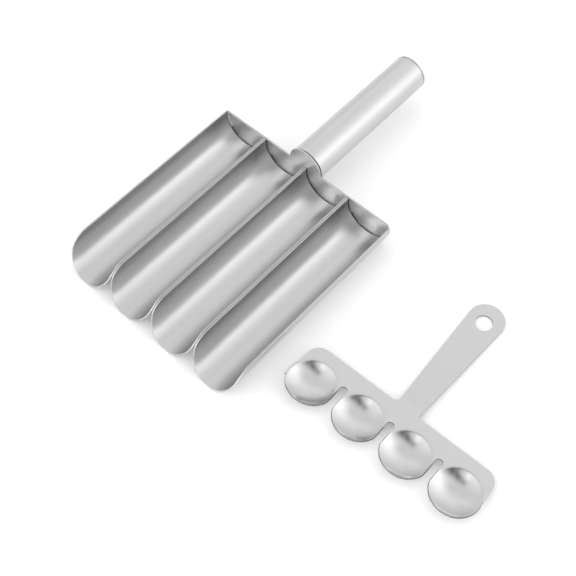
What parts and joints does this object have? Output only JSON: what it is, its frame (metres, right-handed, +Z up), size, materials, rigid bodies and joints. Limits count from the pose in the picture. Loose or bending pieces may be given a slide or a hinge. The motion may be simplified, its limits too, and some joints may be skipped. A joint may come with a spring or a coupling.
{
  "type": "meatball scoop",
  "caption": "Steel scoop with half-round troughs side by side on a tube handle, and a loose stamped cutter with round bowls.",
  "frame": {"origin": "centre of the bottom of the bounding box of scoop and cutter, on the table", "axes": "+Z up, +Y from the troughs' open ends towards the scoop's handle, +X from the scoop to the cutter"},
  "size_m": [0.2616, 0.231, 0.0316],
  "materials": {
    "trough_steel": "satin",
    "plate_steel": "satin",
    "handle_steel": "satin",
    "cap_steel": "satin",
    "weld_steel": "matt bead",
    "cutter_steel": "satin, bowls polished"
  },
  "bodies": {
    "scoop": {"back_plate": "plate_steel", "handle_end_cap": "cap_steel", "handle_tube": "handle_steel", "handle_weld": "weld_steel", "plate_weld_1": "weld_steel", "plate_weld_2": "weld_steel", "plate_weld_3": "weld_steel", "plate_weld_4": "weld_steel", "plate_weld_5": "weld_steel", "plate_weld_6": "weld_steel", "plate_weld_7": "weld_steel", "plate_weld_8": "weld_steel", "seam_weld_1": "weld_steel", "seam_weld_2": "weld_steel", "seam_weld_3": "weld_steel", "seam_weld_4": "weld_steel", "seam_weld_5": "weld_steel", "seam_weld_6": "weld_steel", "seam_weld_7": "weld_steel", "seam_weld_8": "weld_steel", "seam_weld_9": "weld_steel", "trough_1": "trough_steel", "trough_2": "trough_steel", "trough_3": "trough_steel", "trough_4": "trough_steel"},
    "cutter": {"cutter": "cutter_steel"}
  },
  "joints": [
    {"name": "cutter_lift", "type": "slide", "parent": "scoop", "child": "cutter", "axis": [0, 0, 1], "range_m": [0, 0.06]}
  ]
}
